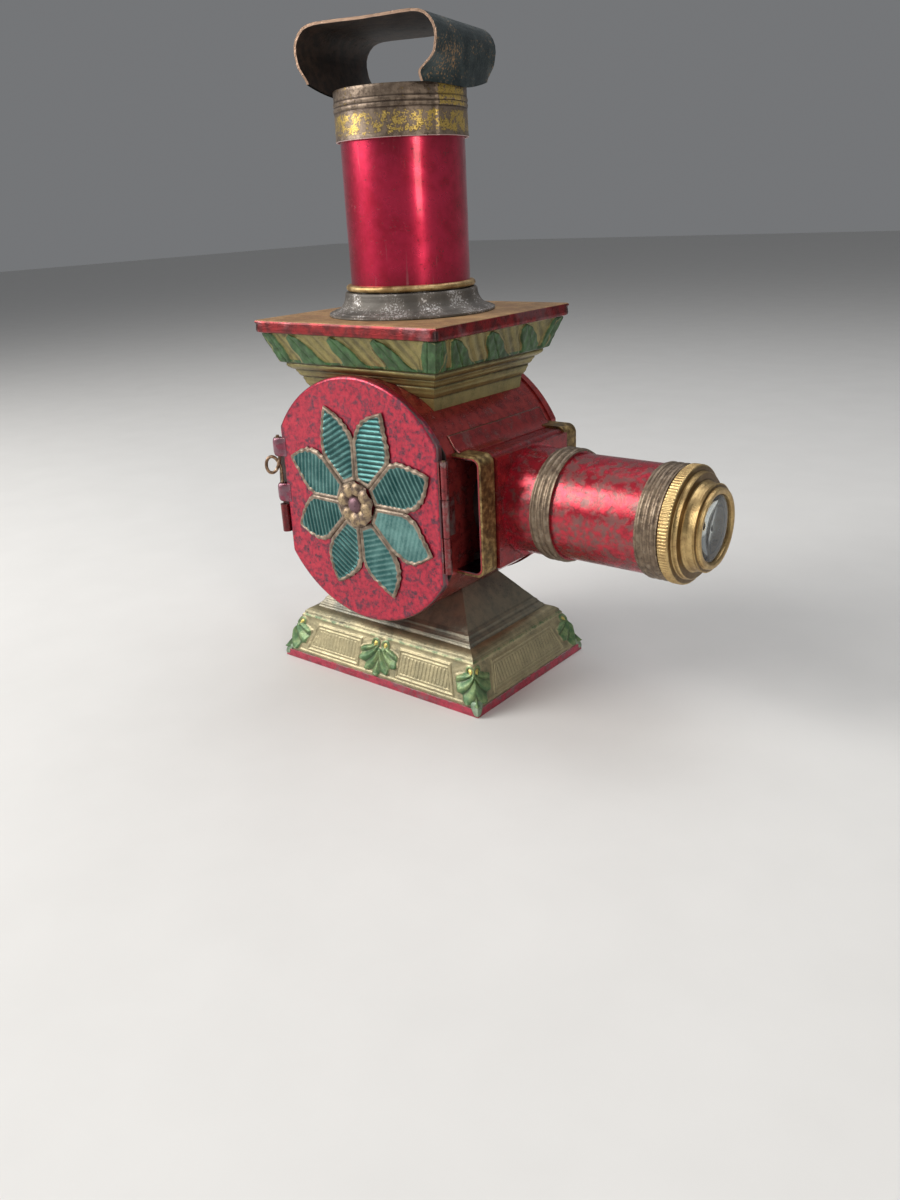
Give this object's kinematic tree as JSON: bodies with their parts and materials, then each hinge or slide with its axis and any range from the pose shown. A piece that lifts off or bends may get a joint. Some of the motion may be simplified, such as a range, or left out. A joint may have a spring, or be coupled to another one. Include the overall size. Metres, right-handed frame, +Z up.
{
  "type": "magic lantern",
  "caption": "small tinplate magic lantern: round lamp house on a hipped base, tall chimney with bent-strip cowl, flower door, slide stage, focusing lens tube and oil lamp inside",
  "frame": {"origin": "centre of the underside of the base plate", "axes": "+Z up, +X along the beam out of the lens, the drum's own axis along Y with the door on the -Y side"},
  "size_m": [0.1737, 0.081, 0.2298],
  "materials": {
    "rim_red": "worn red lacquer on tinplate",
    "old_gold": "embossed tinplate with old gold and green lacquer",
    "red_lacquer": "transparent crimson lacquer on tinplate, rubbed and speckled",
    "dark_tin": "sooty, tarnished tinplate",
    "rust_plate": "rusty brown tinplate with a red lip",
    "petal_green": "teal lacquer over ribbed metal, gilt outlines",
    "gilt": "tarnished gilt",
    "wire": "coppery wire",
    "pewter": "dull grey tin with silver specks",
    "band_gold": "dark old gold",
    "band_tin": "grey-brown tarnished tin",
    "collar_gold": "tarnished tin with patches of gold lacquer",
    "cowl": "blue-black tin, rusty at the edges",
    "brass": "turned brass",
    "glass": "clear lens glass",
    "tinplate": "plain tinplate",
    "mirror": "silvered reflector",
    "wick_cotton": "woven cotton"
  },
  "bodies": {
    "lamp_house": {"base_plate": "rim_red", "base_skirt": "old_gold", "base_saddle": "old_gold", "cornice_shell": "old_gold", "drum_shell": "red_lacquer", "rear_cap": "red_lacquer", "bolt_keeper": "red_lacquer", "slide_stage": "red_lacquer", "lens_box": "red_lacquer", "fixed_tube": "red_lacquer", "door_frame": "dark_tin", "drum_hinge": "dark_tin", "condenser_cell": "dark_tin", "top_plate": "rust_plate", "hinge_pin": "wire", "condenser_ring": "wire", "chimney_flange": "pewter", "stage_band_door_side": "band_gold", "stage_band_far_side": "band_gold", "fixed_tube_band": "band_tin", "burner": "brass", "wick_tube": "brass", "glass_gallery": "brass", "condenser_lens": "glass", "lamp_glass": "glass", "slide_spring_upper": "tinplate", "slide_spring_lower": "tinplate", "lamp_floor": "tinplate", "lamp_rail_front": "tinplate", "lamp_rail_back": "tinplate", "lamp_font": "tinplate", "reflector_bracket": "tinplate", "reflector": "mirror"},
    "side_door": {"side_door": "red_lacquer", "rosette_petals": "petal_green", "rosette_boss": "gilt", "door_hinge_lower": "dark_tin", "door_hinge_upper": "dark_tin", "bolt_barrel_upper": "red_lacquer", "bolt_barrel_lower": "red_lacquer"},
    "door_bolt": {"latch_bolt": "wire"},
    "chimney": {"chimney_tube": "red_lacquer", "chimney_ring": "gilt"},
    "cowl": {"cowl_collar": "collar_gold", "cowl_strap": "cowl"},
    "focusing_tube": {"draw_tube": "red_lacquer", "draw_tube_band": "band_tin", "light_stop": "dark_tin", "rear_lens": "glass", "rear_lens_cell": "dark_tin", "rear_lens_ring": "wire"},
    "lens_head": {"lens_head": "brass", "front_lens": "glass", "front_lens_ring": "wire"},
    "wick_winder": {"wick_winder_shaft": "brass", "wick_knob": "brass"},
    "wick": {"wick": "wick_cotton"}
  },
  "joints": [
    {"name": "door_swing", "type": "hinge", "parent": "lamp_house", "child": "side_door", "pos_m": [0.0401, -0.0352, 0.074], "axis": [0, 0, 1], "range_deg": [0, 115]},
    {"name": "bolt_slide", "type": "slide", "parent": "side_door", "child": "door_bolt", "axis": [0, 0, 1], "range_m": [-0.004, 0]},
    {"name": "chimney_lift", "type": "slide", "parent": "lamp_house", "child": "chimney", "axis": [0, 0, 1], "range_m": [0, 0.012]},
    {"name": "cowl_turn", "type": "hinge", "parent": "chimney", "child": "cowl", "pos_m": [0, 0, 0.2], "axis": [0, 0, 1], "continuous": true},
    {"name": "focus_slide", "type": "slide", "parent": "lamp_house", "child": "focusing_tube", "axis": [1, 0, 0], "range_m": [-0.005, 0.008]},
    {"name": "lens_head_turn", "type": "hinge", "parent": "focusing_tube", "child": "lens_head", "pos_m": [0.11, 0, 0.074], "axis": [1, 0, 0], "continuous": true},
    {"name": "wick_knob_turn", "type": "hinge", "parent": "lamp_house", "child": "wick_winder", "pos_m": [0.0029, 0, 0.057], "axis": [0, 1, 0], "range_deg": [-150, 110]},
    {"name": "wick_rise", "type": "slide", "parent": "lamp_house", "child": "wick", "axis": [0, 0, 1], "range_m": [-0.0052, 0.0038]}
  ],
  "couplings": [
    {"joint": "wick_knob_turn", "follows": "wick_rise", "rad_per_m": 500}
  ]
}
